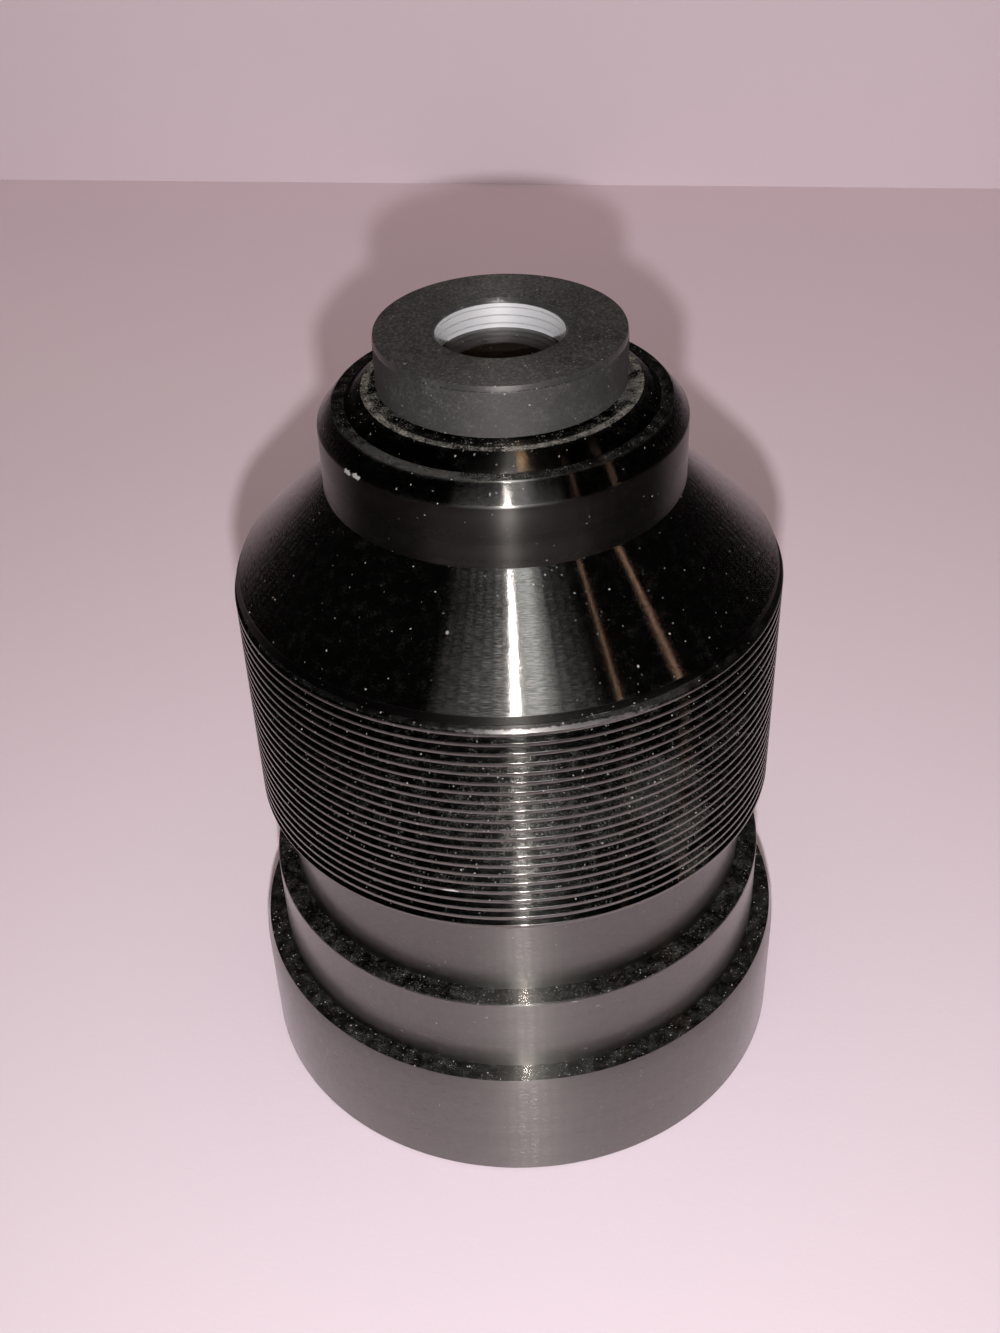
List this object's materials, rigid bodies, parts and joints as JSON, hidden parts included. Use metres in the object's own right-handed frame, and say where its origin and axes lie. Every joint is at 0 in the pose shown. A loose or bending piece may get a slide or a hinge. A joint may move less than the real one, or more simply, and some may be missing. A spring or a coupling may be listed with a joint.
{
  "type": "projection lens",
  "caption": "Projection lens in a black anodised metal barrel with a fine focusing thread, a conical shoulder, a stepped nose and a small rear window.",
  "frame": {"origin": "middle of the plane that the front rim stands on", "axes": "+Z along the optical axis, from the wide front end up to the small rear window"},
  "size_m": [0.0776, 0.0776, 0.1118],
  "materials": {
    "barrel_black": "black anodised over fine turning marks, semi-gloss",
    "cap_black": "matt black anodised, dusty",
    "nose_black": "black anodised, glossy, dust in the corners",
    "bare_metal": "bare turned aluminium",
    "ring_black": "black anodised rings, matt",
    "cell_black": "black anodised cell, matt",
    "stop_black": "blackened thin steel",
    "coated_glass": "clear optical glass with a faint brown coating",
    "clear_glass": "clear optical glass"
  },
  "bodies": {
    "root": {"main_barrel": "barrel_black", "front_retaining_ring": "ring_black", "front_meniscus": "coated_glass", "stack_ring": "ring_black", "second_meniscus": "clear_glass", "long_spacer": "cell_black", "field_lens": "clear_glass", "cell_lock_ring": "ring_black", "middle_cell": "cell_black", "stop_lens_ring": "ring_black", "stop_lens": "clear_glass", "stop_spacer": "cell_black", "aperture_stop": "stop_black", "middle_flint": "clear_glass", "middle_crown": "clear_glass", "middle_pair_ring": "ring_black", "rear_cell": "nose_black", "rear_pair_ring": "ring_black", "rear_flint": "clear_glass", "rear_crown": "clear_glass", "last_lens": "coated_glass", "bright_sleeve": "bare_metal", "tip_cap": "cap_black"}
  },
  "joints": []
}
